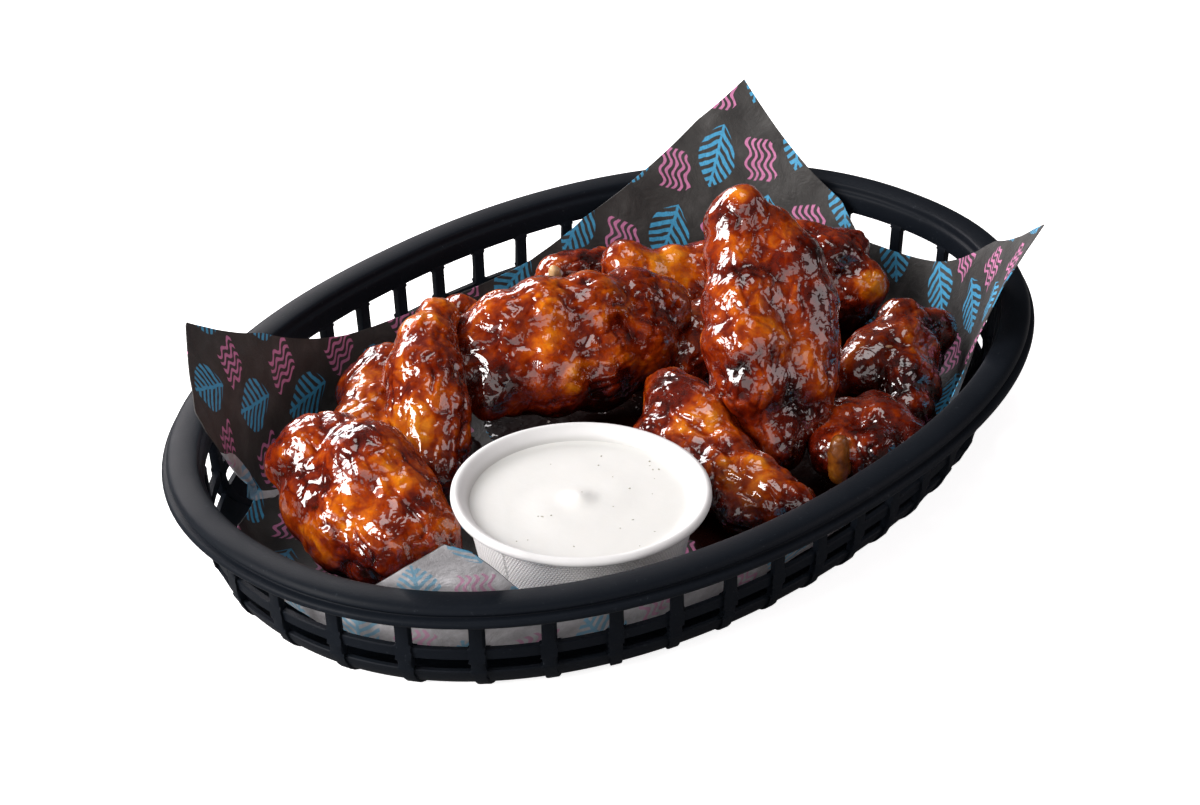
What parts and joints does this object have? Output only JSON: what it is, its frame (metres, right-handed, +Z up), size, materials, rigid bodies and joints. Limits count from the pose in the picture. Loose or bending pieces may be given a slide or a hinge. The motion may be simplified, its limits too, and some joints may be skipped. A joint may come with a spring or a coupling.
{
  "type": "basket of glazed chicken wings",
  "caption": "Glazed chicken wings piled on a printed paper sheet in an oval slotted plastic basket, with a small paper cup of pale dip.",
  "frame": {"origin": "centre of the basket's underside, on the surface it stands on", "axes": "+X along the basket's long side, +Y across it towards the side away from the cup, +Z up"},
  "size_m": [0.254, 0.1768, 0.071],
  "materials": {
    "black_plastic": "satin black moulded plastic",
    "printed_paper": "charcoal greaseproof paper with a blue and pink print, grey on the reverse",
    "cup_pulp": "white moulded pulp with a fine mesh texture",
    "ranch_dip": "off-white creamy dip with small herb specks",
    "glazed_wing": "fried chicken under a sticky red-brown glaze"
  },
  "bodies": {
    "root": {"basket": "black_plastic", "paper_liner": "printed_paper", "dip_cup": "cup_pulp", "dip": "ranch_dip", "wing_front_left": "glazed_wing", "wing_left": "glazed_wing", "wing_left_back": "glazed_wing", "wing_centre": "glazed_wing", "wing_back_bone": "glazed_wing", "wing_back": "glazed_wing", "wing_upright": "glazed_wing", "wing_middle_low": "glazed_wing", "wing_back_right": "glazed_wing", "wing_right": "glazed_wing", "wing_front_right": "glazed_wing", "wing_right_low": "glazed_wing"}
  },
  "joints": []
}
